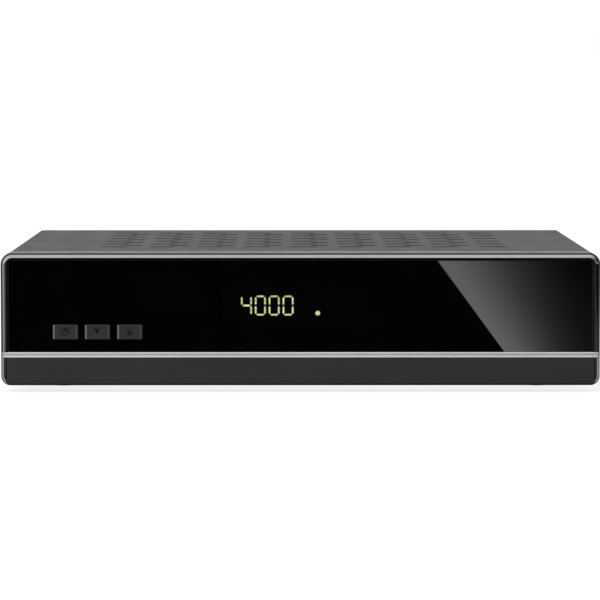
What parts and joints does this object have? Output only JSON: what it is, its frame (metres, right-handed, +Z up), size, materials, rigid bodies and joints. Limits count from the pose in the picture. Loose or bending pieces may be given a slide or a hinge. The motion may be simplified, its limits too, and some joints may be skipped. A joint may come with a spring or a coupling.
{
  "type": "satellite tv receiver",
  "caption": "Low set-top satellite receiver: gloss black front with lit digit display, keys and drop-down flap, vented steel cover and rear sockets.",
  "frame": {"origin": "on the floor under the centre of the overall box, the sockets at the rear included", "axes": "+Z up; +X to the right as seen from the front; the front with the display faces -Y"},
  "size_m": [0.26, 0.19, 0.0607],
  "materials": {
    "bezel_black": "gloss black moulding",
    "silver_trim": "satin silver paint on plastic",
    "panel_gloss": "polished black acrylic",
    "smoked_lens": "smoked clear acrylic",
    "flap_matte": "fine spark-eroded texture",
    "key_grey": "satin",
    "rocker_black": "gloss",
    "lit_segment": "lit diffuser",
    "socket_plastic": "satin black nylon",
    "phono_plastic": "coloured insulators, white, red and orange",
    "board_green": "green solder resist",
    "board_brown": "paper laminate",
    "chip_black": "moulded epoxy",
    "ribbon_white": "flat flexible cable",
    "capacitor_sleeve": "shrink sleeve",
    "coil_tape": "polyester tape",
    "wire_sleeve": "vinyl insulation",
    "white_insulator": "moulded polymer",
    "ferrite": "sintered ferrite",
    "fuse_glass": "clear tube",
    "steel_shell": "tinned sheet",
    "nickel_plate": "nickel plated",
    "screw_steel": "zinc plated",
    "sink_aluminium": "extruded",
    "tray_steel": "galvanised sheet",
    "cover_paint": "fine textured powder coat",
    "rear_paint": "fine textured powder coat",
    "foot_rubber": "matt"
  },
  "bodies": {
    "housing": {"aerial_insulators": "white_insulator", "aerial_nuts": "nickel_plate", "board_capacitors": "capacitor_sleeve", "board_screws": "screw_steel", "card_reader": "socket_plastic", "case_screws": "screw_steel", "chassis_tray": "tray_steel", "decoder_chip": "chip_black", "display_module": "chip_black", "display_segments": "lit_segment", "display_window": "smoked_lens", "front_bezel": "bezel_black", "front_board_screws": "screw_steel", "front_pcb": "board_green", "gloss_panel": "panel_gloss", "hdmi_socket": "steel_shell", "heat_sink": "sink_aluminium", "infrared_eye": "chip_black", "inlet_pins": "nickel_plate", "lan_socket": "socket_plastic", "line_choke": "ferrite", "line_fuse": "fuse_glass", "lnb_in_connector": "nickel_plate", "lnb_out_connector": "nickel_plate", "main_pcb": "board_green", "mains_inlet": "socket_plastic", "mains_wires": "wire_sleeve", "memory_chips": "chip_black", "phono_block": "phono_plastic", "phono_rings": "nickel_plate", "rear_panel": "rear_paint", "ribbon_cable": "ribbon_white", "rubber_feet": "foot_rubber", "scart_socket": "socket_plastic", "silver_frame": "silver_trim", "socket_tongues": "socket_plastic", "status_led": "lit_segment", "supply_capacitors": "capacitor_sleeve", "supply_harness": "wire_sleeve", "supply_heat_sink": "sink_aluminium", "supply_pcb": "board_brown", "switch_housing": "socket_plastic", "tact_switches": "steel_shell", "top_cover": "cover_paint", "transformer_coil": "coil_tape", "transformer_core": "ferrite", "trim_strip": "silver_trim", "tuner_can": "steel_shell", "usb_front_socket": "steel_shell", "usb_rear_socket": "steel_shell"},
    "flap": {"front_flap": "flap_matte"},
    "power_key": {"button_power": "key_grey", "plunger_power": "socket_plastic"},
    "down_key": {"button_down": "key_grey", "plunger_down": "socket_plastic"},
    "up_key": {"button_up": "key_grey", "plunger_up": "socket_plastic"},
    "rocker": {"mains_rocker": "rocker_black"}
  },
  "joints": [
    {"name": "flap_hinge", "type": "hinge", "parent": "housing", "child": "flap", "pos_m": [0, -0.0937, 0.0054], "axis": [1, 0, 0], "range_deg": [0, 90]},
    {"name": "power_press", "type": "slide", "parent": "housing", "child": "power_key", "axis": [0, 1, 0], "range_m": [0, 0.0005], "stiffness_N_per_m": 4000},
    {"name": "down_press", "type": "slide", "parent": "housing", "child": "down_key", "axis": [0, 1, 0], "range_m": [0, 0.0005], "stiffness_N_per_m": 4000},
    {"name": "up_press", "type": "slide", "parent": "housing", "child": "up_key", "axis": [0, 1, 0], "range_m": [0, 0.0005], "stiffness_N_per_m": 4000},
    {"name": "mains_rocker_tilt", "type": "hinge", "parent": "housing", "child": "rocker", "pos_m": [-0.076, 0.0815, 0.026], "axis": [-1, 0, 0], "range_deg": [0, 22]}
  ]
}
